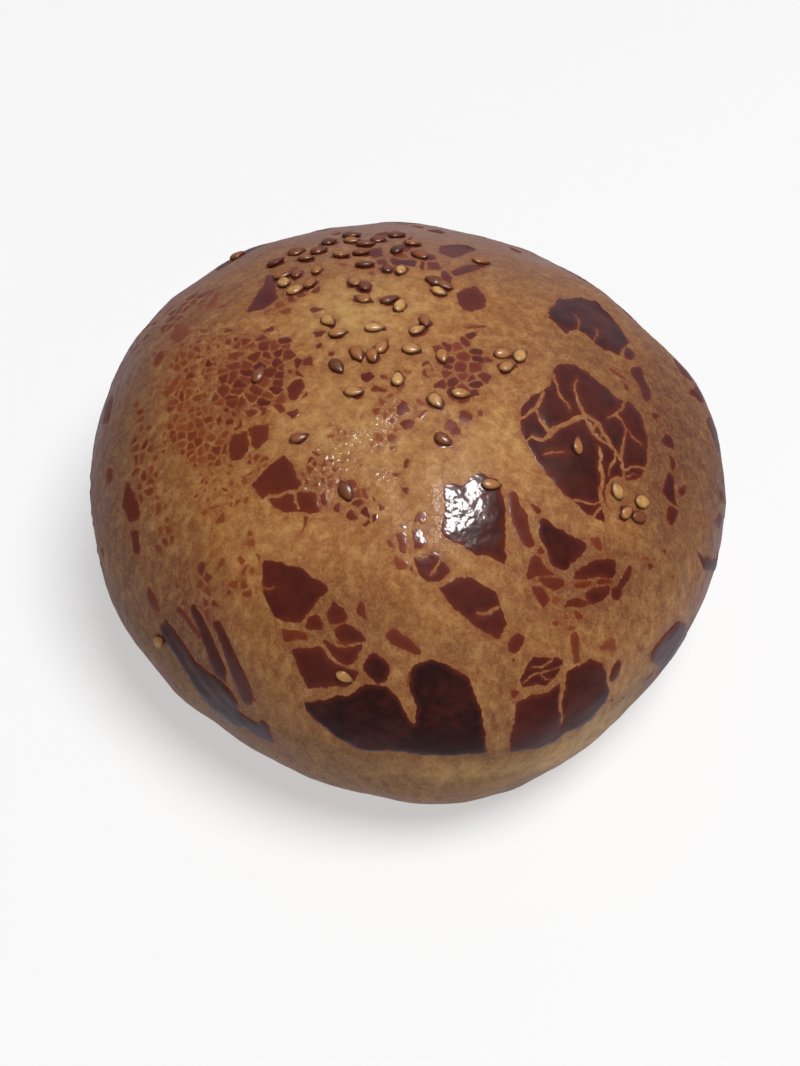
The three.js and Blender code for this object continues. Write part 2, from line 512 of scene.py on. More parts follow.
def crustMaterial():
    # Tan with a mottle, blotches, grain and freckles, then each kind of place laid over it in its own colour;
    # among them are painted shade at the sides, painted light low on the right and a painted sheen at the rim
    skin = Shader("bakedCrust")
    blotches, mottle = skin.noise(6.0, 3, upright=1.6), skin.noise(1.45, 6, 0.64, 0.3, upright=1.7)
    fine, veins = skin.noise(0.42, 3, 0.6, upright=1.5), skin.noise(0.95, 4, 0.6, 0.5, upright=1.8)
    tan = skin.ramp(
        skin.spread(mottle, 0.35, 0.65),
        [(0.0, srgb(138, 84, 39)), (0.5, srgb(165, 114, 59)), (1.0, srgb(187, 143, 85))],
    )
    tan = skin.mix(skin.spread(blotches, 0.35, 0.7, 0.0, 0.5), tan, srgb(153, 94, 44))
    tan = skin.mix(skin.spread(fine, 0.44, 0.66, 0.0, 0.4), tan, srgb(124, 70, 34))
    freckles = skin.spread(skin.cells(1.1, shaken=0.7), 0.26, 0.10, 0.0, 0.3)
    tan = skin.mix(freckles, tan, srgb(118, 58, 30))
    reddened = skin.places("reddened", mottle, 0.35, 0.62, 1.2, 0.35)
    tan = skin.mix(skin.math("MULTIPLY", reddened, 0.85), tan, srgb(140, 70, 32))
    # Browner by place: partly the crust's own browning, partly painted shade along the roll's sides and far
    # rim
    browningAndShade = skin.places("browningAndShade", mottle, 0.35, 0.62, 1.15, 0.75)
    tan = skin.mix(skin.math("MINIMUM", browningAndShade, 0.92), tan, srgb(92, 50, 36))
    bare = skin.math("ADD", skin.attribute("bare"), skin.spread(blotches, 0.35, 0.65, -0.35, 0.35), True)
    bareColour = skin.mix(mottle, srgb(84, 53, 24), srgb(127, 86, 42))
    tan = skin.mix(skin.math("MULTIPLY", bare, 0.7), tan, bareColour)
    # Golden by place: partly the crust's own colour, partly painted light low on the right
    tan = skin.mix(skin.places("goldenAndLight", mottle, 0.35, 0.65, 0.4, 1.0), tan, srgb(190, 150, 88))
    tan = skin.mix(skin.places("stained", mottle, 0.35, 0.65, 0.75, 0.3), tan, srgb(128, 72, 38))
    ridge = skin.math("ABSOLUTE", skin.math("SUBTRACT", veins, 0.5))
    tan = skin.mix(skin.spread(ridge, 0.0, 0.045, 0.26, 0.0), tan, srgb(192, 144, 86))
    # Painted sheen: a grey veil laid on the crust colour in place of the reflection at the rim
    tan = skin.mix(skin.math("MULTIPLY", skin.attribute("paintedSheen"), 0.9), tan, srgb(150, 124, 118))
    skinHeight = skin.math("ADD", mottle, skin.math("MULTIPLY", fine, 0.5))
    wet = skin.places("wet", blotches, 0.3, 0.7, 0.6, 1.3)
    blisters = skin.spread(skin.cells(1.1, shaken=0.3), 0.0, 0.5)
    drops = skin.bump(skin.math("MULTIPLY", blisters, wet), 0.25, 1.0, skin.bump(fine, 0.08, 1.0))
    return skin.finish(
        Base_Color=tan, Roughness=skin.spread(fine, 0.3, 0.7, 0.5, 0.66), Specular_IOR_Level=0.3,
        Sheen_Weight=0.14, Sheen_Roughness=0.35, Sheen_Tint=(0.80, 0.80, 1.0, 1),
        Coat_Weight=skin.spread(wet, 0.0, 1.0, 0.08, 1.0), Coat_Roughness=0.07,
        Coat_Normal=drops, Normal=skin.bump(skinHeight, 0.16, 0.9),
    )


seed = {
    "length": 2.85,
    "width": 1.85,
    "thickness": 0.9,
    "sizes": ([0.90, 0.84, 0.9], [1.12, 1.10, 1.1]),  # the least and the most of each of these three
    "tilt": 0.13,
    "sunk": 0.17,
    "along": 13,
    "around": 14,
}
seedRows = [  # u, v, turn of the long axis in degrees, darkness from 0 to 1
    (14.6, -0.7, 10, 0.3), (17, -0.7, 70, 0.05), (15.1, -3.2, 35, 0.25), (25.1, -14.8, 90, 0.3),
    (31.3, -20.3, 118, 0.05), (35.7, -20.7, 15, 0.05), (32.9, -23.1, 50, 0.25), (35.2, -23.2, 15, 0.7),
    (12.1, -22.8, 0, 0.3), (-9.2, -3.9, -58, 0.9), (-6.1, -2, -70, 0.45), (-2.6, -1, 60, 0.3),
    (-3.9, -2.6, -75, 0.35), (1.7, -1.3, -10, 0.2), (6, -2.5, -75, 0.3), (-0.3, -6.7, 90, 0.0),
    (-6.5, -8.8, 0, 0.2), (8.4, -9, 0, 0.2), (4.8, -10.4, -58, 0.1), (5.7, -16.4, -38, 0.75),
    (-14.8, -16, 8, 0.6), (-7.4, -24.2, -62, 0.85), (-8.8, -49.2, -25, 0.1), (-48, -40.3, 0, 0.2),
    (-20.6, -3.4, 60, 0.68), (-18.3, 21.6, 20, 0.8), (-15.4, 24, 20, 0.75), (-12, 23.5, 30, 0.8),
    (-10.7, 26.5, 25, 0.9), (-13.8, 21.3, 0, 0.5), (-17, 17.4, 10, 0.5), (-16.7, 15.3, 105, 0.05),
    (-14.9, 17, 90, 0.6), (-14.8, 12.8, 20, 0.1), (-12.7, 14, 60, 0.4), (-12, 17.6, 85, 0.35),
    (-8.7, 21.6, 0, 0.35), (-7.3, 26.8, 0, 0.45), (-5.8, 22.3, 0, 0.6), (-5.2, 25, 0, 0.6),
    (-3.4, 26.8, 0, 0.8), (-5.1, 18.4, 0, 0.85), (-6.5, 13.4, 110, 0.3), (-5, 12, 100, 0.85),
    (-5.1, 8.9, 150, 0.4), (-1.9, 16.8, 100, 0.85), (0.1, 16.4, 80, 0.05), (-0.4, 22.8, 60, 1.0),
    (2.9, 21.2, 150, 0.6), (1.9, 25, 0, 0.4), (-0.6, 28.8, 20, 0.8), (5, 14.2, 160, 0.85),
    (5.8, 11.7, -30, 0.05), (6.7, 13.3, -30, 0.6), (-1.4, 8.7, 30, 0.8), (0, 7.7, 70, 0.05),
    (-9.9, 5, -50, 0.1), (-8.6, 2.3, -5, 0.3), (-3.4, 2.6, 0, 0.05), (3.7, 4.6, -80, 0.5),
    (2.6, 2.5, 35, 0.05), (12.4, 21.5, 0, 0.4), (-7.5, 29.5, 0, 0.8), (-26.5, 33, 30, 0.5),
]

# The egg wash is a thin film that cracked into flakes as the roll grew
flakes = [  # darkness, then the corners of the outline
    (0.92, [(22.2, -2), (22.9, -0.7), (25, -0.2), (27, -1.1), (30.6, -3), (31.6, -4.4), (33.2, -4),
     (34.6, -4.2), (35.5, -5.5), (36.7, -9), (36.7, -12.5), (35.8, -16.6), (34.4, -17.6), (30.2, -18.2),
     (29.4, -20), (29.9, -25.6), (26.5, -24.6), (22.6, -22), (19.5, -18.8), (16.7, -14), (17, -10.5),
     (18.5, -8), (21.3, -5.4)]),
    (0.94, [(21.8, 8.8), (22.6, 11.8), (24.3, 15.2), (27.3, 17.2), (28.2, 18.3), (30, 18.4), (31, 19.6),
     (32.4, 16.5), (34.8, 9.8), (33.2, 6.8), (32.6, 5.4), (30, 5.2), (28.8, 6.3), (26.3, 7.9), (24.8, 7.3),
     (24.3, 5.9), (23.4, 7.2)]),
    (0.9, [(33.6, 5), (33.9, 7), (34.6, 8.2), (35.4, 7.6), (35.3, 6), (34.3, 5.2)]),
    (0.9, [(34.4, 2), (34.8, 3.6), (36.3, 4.7), (36.9, 2.4), (37.9, 0.6), (37.9, -1), (36.9, -2.6),
     (36, -1.6), (35.7, 0.2)]),
    (0.7, [(30.6, 1.6), (33.5, 0.9), (33.8, 0.2), (31, 0.7)]),
    (0.9, [(41, -13.5), (42.3, -13.5), (42.3, -16), (43.8, -18.3), (40.9, -18), (39.5, -17.2),
     (40.3, -15.5)]),
    (0.85, [(41.3, -19), (43.7, -18.8), (43, -21.4), (41.8, -21.6), (41.2, -20.5)]),
    (0.85, [(45.3, -13.4), (44.8, -15.5), (43.6, -16), (43.2, -15.3), (44.2, -13.9)]),
    (0.66, [(45.5, 15.3), (48, 16.5), (50, 16), (50, 14), (48.5, 11.5), (46, 10.8), (45, 12.8)]),
    (0.7, [(46.5, 6.3), (50, 11.5), (52, 13.5), (53, 12), (51, 8.5), (50, 7), (48.5, 7)]),
    (0.75, [(50.3, 3.2), (53.5, 7), (56, 7), (58, 5), (57, 2), (55, 0.2), (52, 1.5)]),
    (0.85, [(62.8, -4), (63.6, 2), (64.6, 7), (66, 12.5), (69, 13), (71, 8.5), (71.8, 1), (69.5, -3),
     (66, -5.5)]),
    (0.7, [(56, -7.5), (60.5, -4), (60, -7), (57.5, -8.5)]),
    (0.7, [(55.5, -14.3), (57.5, -11), (60, -10.5), (59, -13)]),
    (0.9, [(50.2, -22.6), (54.5, -21.9), (60, -19), (65, -16), (66, -17.5), (62, -20), (55, -23.5),
     (52.8, -23.2)]),
    (0.8, [(49, -36.5), (50.5, -35.2), (55, -34.2), (65, -33.2), (64, -38), (61, -42.5), (58, -44),
     (54, -43), (47, -43.5), (44.9, -42.5), (44.8, -40.8), (47.5, -38)]),
    (0.5, [(48.5, -47.5), (51, -45), (57, -47), (55, -48.5), (51, -48)]),
    (0.5, [(30, -43), (33.3, -41.6), (34.7, -43.2), (31.5, -43.4)]),
    (0.93, [(19, -27), (20.2, -26.6), (23, -28), (26.6, -28.9), (26.6, -30), (25, -31.7), (23, -33.4),
     (21.3, -32.8), (20.5, -31), (19.3, -29.5)]),
    (0.75, [(14.2, -23.7), (15.6, -23.4), (17.2, -26.6), (18.4, -30.4), (17, -30.6), (15.6, -29),
     (15, -27)]),
    (0.8, [(17.8, -24.7), (19, -25), (19.3, -25.9), (18.6, -26.4)]),
    (0.95, [(5.8, -23.2), (7, -22.6), (8.5, -22.8), (10.2, -21.4), (13.2, -22), (13.9, -26), (14, -28.5),
     (13.8, -31), (14.4, -32), (14.2, -33.3), (9.5, -31.8), (6, -30.2), (5.4, -28.5), (5.9, -26.5)]),
    (0.76, [(17.8, -32), (18.5, -31.7), (19.5, -32.6), (22, -34.3), (18.7, -34.4), (17.6, -35),
     (17.2, -34.5)]),
    (0.78, [(18.2, -35), (20, -34.7), (23, -34.5), (23.5, -35.1), (22.5, -35.9), (21.3, -36.2),
     (19.8, -35.6)]),
    (0.8, [(18.1, -35.8), (19.3, -36), (20.5, -36.7), (20.9, -37.8), (20.4, -38.6), (19.4, -37.6),
     (18.5, -36.8)]),
    (0.5, [(21.1, -37.6), (22.3, -36.7), (23.3, -37.1), (21.9, -38.2)]),
    (0.9, [(24.3, -34.4), (26.4, -32.3), (28.2, -31.1), (31.6, -30.3), (31.7, -31.6), (31.2, -33),
     (29.4, -33.2), (27.8, -33.7), (26, -34.1)]),
    (0.76, [(24.3, -35.3), (26, -34.5), (28.2, -34), (27.4, -34.8), (25.2, -35.5)]),
    (0.82, [(28.3, -34.3), (29.5, -33.6), (31.3, -33.3), (31, -34), (29.2, -34.4)]),
    (0.9, [(26.6, -36), (28, -35), (31, -34.4), (31, -35.3), (30.2, -36.4), (28.3, -37.3), (27, -36.6)]),
    (0.78, [(23.2, -38.5), (24.2, -37.3), (26, -36.8), (28, -37.4), (26.5, -38), (24.5, -38.4)]),
    (0.66, [(24.5, -39), (26.2, -38.7), (27.1, -39.2), (26.2, -39.6)]),
    (0.62, [(27.2, -28.4), (28.6, -28.1), (29.2, -29.1), (28.2, -29.7), (27.3, -29.1)]),
    (0.5, [(29, -30), (31.3, -29.4), (31.3, -29.8), (29.6, -30.3)]),
    (0.66, [(18.3, -31.3), (19, -30.4), (20.1, -31.2), (19.6, -31.8)]),
    (0.5, [(31.3, -42.3), (32.5, -41.6), (34.2, -41.5), (33.4, -42.2)]),
    (0.84, [(35, -30.3), (34.6, -32.5), (33, -35.9), (31.6, -35.9), (31.4, -34.3), (32.5, -34),
     (34, -30.7)]),
    (0.62, [(21.2, -40.6), (22.9, -40), (23.2, -40.8), (22.2, -41)]),
    (0.62, [(23.8, -40.8), (25.9, -40.5), (25.8, -41), (24.4, -41.2)]),
    (0.8, [(14.9, -43.8), (16.2, -42.3), (17.5, -42.9), (16.3, -45), (15.2, -44.8)]),
    (0.7, [(16, -50.2), (17.6, -50.3), (16.8, -51.8)]),
    (0.95, [(19.2, -45.4), (24.6, -45.5), (23.2, -48.5), (22, -49.4), (18, -49.7), (17.2, -48.7),
     (18.3, -46.7)]),
    (0.91, [(17, -52.2), (19.5, -51), (22.6, -50.4), (24, -49.8), (25.5, -47.5), (27.5, -46.2), (29, -45.2),
     (32, -45.6), (33.3, -46.3), (34, -48), (36.5, -50), (36.8, -52), (34.5, -56), (32.5, -57.2),
     (29, -57.6), (27, -59.4), (24.5, -60.4), (21, -61), (18.5, -61), (17.5, -59), (17.6, -55)]),
    (0.85, [(34.8, -46), (35.5, -44.5), (36.7, -45), (37, -47), (36.5, -48.3), (35, -47.9)]),
    (0.86, [(5, -36.9), (8, -35.2), (10, -35.7), (12.5, -37), (13.3, -38.5), (14.7, -41.2), (13.5, -43.2),
     (11, -42.1), (7.3, -39.5)]),
    (0.85, [(1.6, -33.2), (3.8, -32), (6.7, -34.3), (4.8, -36.2), (3.5, -36), (2.2, -34.9)]),
    (0.8, [(1.6, -29.5), (2.2, -28.8), (3.2, -31), (2, -32)]),
    (0.6, [(-0.7, -30), (0.5, -29.5), (0.8, -32.3), (0, -32.7)]),
    (0.6, [(1, -47.9), (0.5, -49.5), (0, -52), (0.5, -51.4), (1.2, -49)]),
    (0.7, [(-2.3, -43.3), (-1.5, -42.2), (1, -44), (2.9, -45.3), (1.8, -46), (-1.5, -44.5)]),
    (1.0, [(0.9, -50.5), (1, -48.3), (1.8, -47.3), (4, -46.4), (6, -47), (9.5, -49), (10, -50.5),
     (11.6, -53.5), (13.3, -59), (13.8, -61.3), (8, -62), (-8, -61.6), (-12.3, -58.8), (-16.3, -54.8),
     (-16.2, -53.6), (-9, -52.2), (-5.4, -50.4), (-2.8, -50.4), (-0.8, -52.8), (1.2, -56.6), (1.9, -56),
     (2, -54)]),
    (0.87, [(-20.5, -33.2), (-15, -34.6), (-11, -36.8), (-10.5, -37.6), (-13, -39.8), (-15, -42),
     (-17.5, -41.7), (-19.5, -40.8), (-20.5, -38.5)]),
    (0.85, [(-14.5, -42.7), (-13.8, -41.2), (-12.5, -41), (-11.7, -42), (-11.8, -43.2)]),
    (0.7, [(-18.3, -42.8), (-14.2, -43.3), (-14.2, -44.2), (-18, -44.6)]),
    (0.8, [(-11.2, -40.6), (-9.8, -39.2), (-8.2, -40), (-7.9, -41.6), (-10.4, -42.2)]),
    (0.75, [(-6.7, -39.8), (-5.7, -38.9), (-4.6, -41.5), (-6.3, -40.7)]),
    (0.85, [(-9.9, -42.8), (-8.7, -42.1), (-5.9, -43), (-5.1, -44.2), (-6.5, -44.6), (-9.6, -44.2)]),
    (0.85, [(-11.9, -44.3), (-7, -44.7), (-5.5, -44.9), (-7.7, -47.5), (-9.5, -47.4)]),
    (0.84, [(-17, -45.5), (-12.2, -45.1), (-10.4, -47.6), (-6.5, -48.5), (-7.2, -50), (-9.5, -50.6),
     (-14.8, -51), (-16.2, -47.5)]),
    (0.95, [(-6, -47.1), (-4.2, -45.9), (-2.1, -47.3), (-2, -48.8), (-2.6, -49.7), (-4, -50),
     (-5.9, -48.5)]),
    (0.76, [(-22, -22), (-19, -19.8), (-16.8, -18.4), (-14, -23.2), (-15, -23.9), (-20.6, -24.4)]),
    (0.72, [(-19.5, -24.7), (-15, -24.7), (-14.3, -24.1), (-12, -24.6), (-11.1, -27), (-16.5, -27.1),
     (-18, -26.2)]),
    (0.68, [(-25.3, -13.2), (-22.8, -13.1), (-22.6, -16.5), (-24, -17.9), (-25.9, -17.3)]),
    (0.7, [(-22.5, -12.9), (-19.5, -12.6), (-19.6, -15.3), (-21, -16.8), (-22, -16.4)]),
    (0.75, [(-16.7, -6.8), (-15.8, -5.6), (-14.6, -5.4), (-14, -7), (-15.2, -9.2), (-16.3, -8.6)]),
    (0.6, [(8, 4), (11, 5.1), (13.9, 4.9), (10.3, 4.1)]),
    (0.8, [(8.5, 12), (9.6, 13), (11.5, 13.9), (12.8, 11.5), (12.6, 9), (10.5, 7.9), (9.2, 8.4)]),
    (0.82, [(7.5, 17.3), (9.8, 19.8), (13.8, 21), (11.5, 18.4), (8.3, 16.3)]),
    (0.8, [(5.8, 23), (6.2, 26), (10.5, 27.8), (12, 26.5), (8, 21.5)]),
    (0.82, [(-22, 10), (-20.5, 15), (-19.6, 17), (-19.8, 19), (-18.5, 18.5), (-17.6, 12), (-19, 10.5)]),
    (0.88, [(-1.6, 20.5), (2.5, 19.5), (2, 17.6), (-1.2, 18.5)]),
    (0.85, [(-4.8, 23.5), (-3, 24), (-2.4, 21.5), (-4, 20.6)]),
    (0.45, [(-34.8, 10.5), (-33.8, 13.4), (-32.5, 12.5), (-31, 9.2), (-33, 7.5)]),
    (0.45, [(-37.9, 6.6), (-37, 8.3), (-35.8, 7.8), (-35.2, 6), (-37.4, 5.4)]),
    (0.4, [(-29.8, 12.3), (-29, 14.7), (-27.5, 13.5), (-26.6, 18), (-27.8, 18)]),
    (0.4, [(-36.2, -1.5), (-33, 1.2), (-32.4, 0.3), (-35.6, -2.5)]),
    (0.7, [(-47, -17), (-45, -13), (-43, -18.5), (-43.5, -21), (-46, -20)]),
    (0.65, [(-46.3, -21.3), (-44, -22.5), (-45.2, -26.2), (-46.6, -25.3)]),
    (0.65, [(-46.2, -32.5), (-45, -31.5), (-43.4, -34.8), (-44.3, -36.6), (-46.2, -34.3)]),
    (0.95, [(-46, -38.5), (-43.5, -37.8), (-41, -42.5), (-40, -45.8), (-36.2, -49), (-34, -50),
     (-32.6, -52), (-32, -54.5), (-33.5, -56), (-29, -58.5), (-27, -57.3), (-26, -58.5), (-27, -62),
     (-28.5, -63.3), (-34, -60), (-38, -59.5), (-41.5, -57.5), (-43, -54), (-44.5, -46.5), (-46.5, -41)]),
    (0.7, [(-39.9, -37.3), (-38.7, -36.7), (-36.6, -40.3), (-35.3, -42.6), (-36.5, -42.7), (-38, -40.1)]),
    (0.9, [(-36.3, -37.5), (-35, -37.3), (-33, -42), (-31.6, -48.3), (-33, -50.5), (-35.2, -48.8),
     (-35.5, -42.5)]),
    (0.85, [(-32, -40.8), (-30, -40.7), (-28, -45.5), (-26.6, -50), (-26.7, -52.5), (-28, -54.5),
     (-30.3, -54.8), (-30.6, -44.5)]),
]
chips = [  # small flakes: u, v, length, width, turn in degrees, darkness
    (38.5, -4.4, 1.9, 1.5, 20, 0.85), (40.8, -7.9, 2.6, 2.7, 0, 0.9), (41.8, -11.4, 1.6, 3.0, 10, 0.9),
    (33.6, -1.1, 1.2, 1.6, 0, 0.7), (41.3, -26.4, 1.5, 0.9, 10, 0.7), (37.8, -28.9, 4.0, 0.8, 12, 0.5),
    (38.9, -29.6, 1.8, 1.4, 30, 0.7), (44.7, -29.2, 1.0, 1.0, 0, 0.6), (39, -51.8, 1.4, 0.8, 0, 0.8),
    (43.7, -51.1, 1.2, 0.8, 20, 0.8), (41, -42.2, 1.5, 1.5, 0, 0.3), (-10.5, -25.5, 1.2, 1.8, 0, 0.7),
    (-8.9, -26.4, 1.5, 1.3, 0, 0.75), (-6.5, -27.5, 2.0, 1.8, -30, 0.75), (-12.1, -23.2, 1.1, 0.9, 0, 0.6),
    (-10.8, -21.2, 1.0, 0.7, 0, 0.6), (-9, -21, 1.5, 0.9, -40, 0.6), (-12.1, -18.5, 2.0, 0.8, -40, 0.6),
    (-3.5, -25.1, 1.3, 0.8, -50, 0.6), (0.6, -24, 0.9, 1.7, 0, 0.7), (-0.5, -21.5, 1.3, 0.9, 0, 0.6),
    (0.7, -20, 1.1, 1.5, 0, 0.65), (-16, -3.6, 1.0, 2.0, 0, 0.6), (-27.2, -10, 1.3, 2.0, 0, 0.6),
    (-25.4, -11, 1.5, 1.5, 0, 0.7), (-22.2, -10.2, 1.7, 1.6, 0, 0.7), (-24, 1.3, 3.6, 1.3, 10, 0.6),
    (-4.6, -6.2, 1.9, 2.0, 0, 0.8), (-2.4, -6.1, 1.6, 1.1, 0, 0.6), (-3, -8.4, 2.2, 1.2, 0, 0.7),
    (0.4, -11.4, 1.7, 2.4, 0, 0.75), (1, -13.8, 1.8, 1.9, -30, 0.7), (8.9, -12.8, 1.5, 2.5, -20, 0.7),
    (7.1, -14.5, 1.6, 3.2, 40, 0.6), (10.9, -12, 1.1, 1.8, -20, 0.6), (3.7, -5.5, 1.0, 1.5, 0, 0.6),
    (-11.4, 2.8, 1.8, 1.5, 0, 0.8), (-11.4, 0.5, 1.2, 1.7, 0, 0.75), (-9.7, -1.4, 1.3, 1.1, 0, 0.7),
    (-4.1, 16.1, 1.2, 2.0, 0, 0.5), (-8.2, 19, 1.4, 1.5, 0, 0.5), (16, -46.1, 0.9, 0.9, 0, 0.7),
    (-29, -62.8, 1.4, 0.9, 0, 0.9), (-27, -53.8, 0.8, 1.2, 0, 0.8), (-50, -9, 2.4, 3.2, 0, 0.6),
    (63.6, -16.6, 2.2, 2.2, 0, 1.0),
]
cracks = [  # widths at the line's two ends, then its points
    (0.12, 0.55, [(25.2, -2.6), (25.0, -5), (25.6, -7.2), (26.4, -9.4)]),
    (0.80, 0.50, [(26.5, -9.5), (25.2, -10.3), (23.6, -11.6), (21.8, -12.8), (20.6, -14.2), (20, -14.9)]),
    (0.40, 0.15, [(20.1, -14.9), (18.6, -14.6), (17.2, -15.7)]),
    (0.45, 0.30, [(20.2, -6.8), (19.8, -9), (18.9, -10), (17, -11.8)]),
    (0.30, 0.40, [(19.4, -10), (19.7, -11.6), (20.8, -12.9)]),
    (0.50, 0.14, [(21.9, -3.2), (22.2, -4.6), (22.8, -6.2), (24.3, -8.7)]),
    (0.55, 0.14, [(33.3, -3.6), (32.3, -6), (31.3, -7.3), (30, -8.5)]),
    (0.30, 0.12, [(31.5, -7.4), (32.6, -8), (33.2, -9.2), (34.2, -10.5), (35.7, -11)]),
    (0.25, 0.45, [(33.2, -9.3), (32.6, -11.5), (32.3, -14.2), (32.2, -16), (32.7, -18.6)]),
    (0.50, 0.50, [(26.7, -9.3), (28.2, -10), (29.3, -11.5), (30.4, -13.3), (31.6, -14.3), (32.2, -15)]),
    (0.45, 0.28, [(26.6, -10.1), (27.6, -11.8), (29, -13), (30.6, -14)]),
    (0.20, 0.20, [(27.9, -10), (27.5, -11.6)]),
    (0.18, 0.20, [(29.3, -11.5), (28.6, -12.6)]),
    (0.30, 0.18, [(31.3, -14.2), (30.8, -15.6), (29.8, -18)]),
    (0.14, 0.75, [(28.4, -14), (28.8, -16), (28.9, -18.5), (28.9, -21), (29.3, -23.5), (30, -26.2)]),
    (0.18, 0.22, [(32.4, -16.9), (34, -15.6), (36.8, -14.7)]),
    (0.16, 0.12, [(32.9, -17.6), (34.2, -16.7), (35.2, -16.6)]),
    (0.30, 0.20, [(24.6, -23.1), (27.5, -23.3), (28.8, -22.6)]),
    (0.20, 0.20, [(27.2, -26), (27.8, -24.8), (28.6, -23.5)]),
    (0.16, 0.10, [(20.3, -17), (21.2, -16.6), (23.4, -16.4)]),
    (0.16, 0.08, [(26, 7), (26.5, 9.5), (26.4, 11.8)]),
    (0.10, 0.20, [(28.4, 5.8), (29.2, 8), (29.4, 9.6)]),
    (0.20, 0.09, [(17.9, -49.2), (19.8, -48), (21.9, -47.3), (24, -46.6)]),
    (0.09, 0.16, [(19.0, -46.9), (20.9, -46.9), (22.6, -45.6)]),
    (0.08, 0.14, [(20.6, -47.8), (21.7, -48.6), (23, -48.6)]),
    (0.95, 0.30, [(24.8, -46.5), (25.1, -50), (25.3, -52.5), (26.6, -55.6)]),
    (0.16, 0.26, [(10.2, -40.1), (11.8, -39.9), (13.2, -39.2)]),
    (0.30, 0.20, [(3.9, -35), (4.6, -33.9), (5.5, -32.8)]),
    (0.22, 0.20, [(2, -32.9), (3.2, -32.6)]),
    (0.25, 0.20, [(-15.2, -24.4), (-14.4, -26.6)]),
    (0.30, 0.24, [(-11.6, -43.9), (-9.5, -44.9), (-7.4, -45.1), (-4.8, -44.2)]),
    (0.20, 0.12, [(-21.6, -36.8), (-19.6, -37.4), (-18.6, -36.9)]),
]
crackles = [  # patches of fine cracks: centre, half sizes, turn, cell size, crack width, darkness, share kept
    ((-20.5, -3.5), (7.2, 8.8), 10, 1.8, -0.06, 0.66, 1.6),
    ((-29, -5), (7, 13), 0, 1.5, -0.02, 0.50, 1.3),
    ((-27, -20), (7, 7), 0, 1.5, 0.10, 0.48, 0.7),
    ((-11.5, -21.5), (3.6, 3.4), 45, 1.3, 0.0, 0.56, 1.1),
    ((-6.8, -25), (5, 3), -40, 1.6, 0.0, 0.68, 1.1),
    ((8.8, -4), (4.2, 7.5), 0, 1.75, 0.0, 0.72, 1.15),
    ((-1, -12), (3.4, 7), 0, 1.4, 0.10, 0.40, 0.5),
    ((-6, -16), (4, 5), 0, 1.0, 0.14, 0.24, 0.6),
    ((0, 19), (8, 4), 0, 2.4, 0.20, 0.68, 0.85),
    ((-16, 13), (5, 9), 20, 1.9, 0.22, 0.56, 0.5),
    ((26, -38.8), (4, 1.6), 10, 1.5, 0.18, 0.48, 0.6),
    ((2, -31), (4, 4), 0, 1.7, 0.16, 0.62, 0.6),
    ((-24, -33), (4, 6), 0, 1.7, 0.20, 0.46, 0.5),
    ((-32, 14), (8, 10), 60, 2.1, 0.20, 0.48, 0.7),
    ((-39, -14), (5, 16), 0, 1.8, 0.22, 0.52, 0.7),
    ((-34, -38), (5, 9), 0, 1.9, 0.20, 0.54, 0.5),
]
backCrackles = [  # the same round the back
    ((-14, 43), (9, 5), 10, 2.3, 0.32, 0.76, 0.9),
    ((30, 36), (9, 7), -40, 2.0, 0.30, 0.71, 0.85),
    ((-34, 40), (8, 7), 30, 2.2, 0.32, 0.76, 0.85),
    ((-48, 24), (8, 9), 0, 1.8, 0.34, 0.66, 0.8),
    ((58, 28), (7, 9), 0, 2.4, 0.40, 0.71, 0.7),
    ((-60, -10), (5, 14), 0, 2.2, 0.40, 0.56, 0.5),
    ((0, 50), (50, 20), 0, 2.6, 0.50, 0.51, 0.22),
]
wash = {
    "ripples": ((2.6, 0.012), (1.1, 0.005)),  # length and size of the unevenness of its surface
    "blistered": [  # where the film is all little bubbles
        ((8.5, -27), (8, 8), 1.0), ((-7, -17), (8, 7), 0.8), ((-13, -24), (6, 4), 0.7),
        ((19, -10), (3, 3), 0.5), ((4, -33), (4, 4), 0.6),
    ],
    "calm": 0.12,  # how much of its unevenness it has everywhere else
    "pooled": (56.5, 61.5, 1.7),  # arc lengths between which the film gets thicker, and by how much
    "thickness": 0.08,
    "palest": 0.45,  # how much of that the palest flakes have
    "lip": 0.40,  # how far in from its edge a flake is nearly at full thickness
    "buried": 0.018,  # how far a flake's edge is under the crust's surface
    "raggedness": ((3.0, 0.16), (0.9, 0.06)),  # length and size of the edges' unevenness
    "grown": 0.22,  # how far every outlined flake reaches past its outline
    "softened": 0.10,  # how much the corners of the fine cracks' net are rounded off
    "uneven": (2.4, 0.05),  # length and size of the changes in its cracks' width
    "tile": (9.0, 4.0),  # the net is worked out in squares of this size, from the centres up to this far away
    "shaken": 0.42,  # how far its centres are moved at random, in cells
    "hidden": 1.5,  # how many times as large as its patch it is, with only the patch's part shown
    "patchEdge": (0.8, 1.25),  # how much smaller or larger a patch is at random
    "thinning": (1.25, 0.5),  # share of the cells kept at a patch's middle, and how much less at its border
    "tones": (0.75, 1.3),  # how much paler or darker its cells are at random
    "apart": 0.25,  # how far the fine cracks' net stays from the outlined flakes
    "closed": 0.07,  # how far every crack's sides come closer than its width
    "cracksVary": (1.6, 0.3),  # length of the changes in a crack's width, and their share of it
    "pool": (0.14, 0.85),  # how far wash has gathered round each seed, and its darkness, which is also painted shade round the seed's foot
    # Flakes past this arc length and in front of this v are at the back too, turned and 1 / 0.94 as large
    "again": (40, -10, 14, 0.94),
    "frayed": (0.8, 0.08),  # length and size of the finest unevenness of the flakes' edges
    "stain": 0.7,  # how far from a flake the crust is stained
    "least": 0.15,  # how near the cut a point of the film's grid may be, in steps of the grid
    "bubblesFrom": 0.8,  # how far in from a flake's edge its ripples have full size
    "under": 0.25,  # how far its lower side is under the crust's surface
}


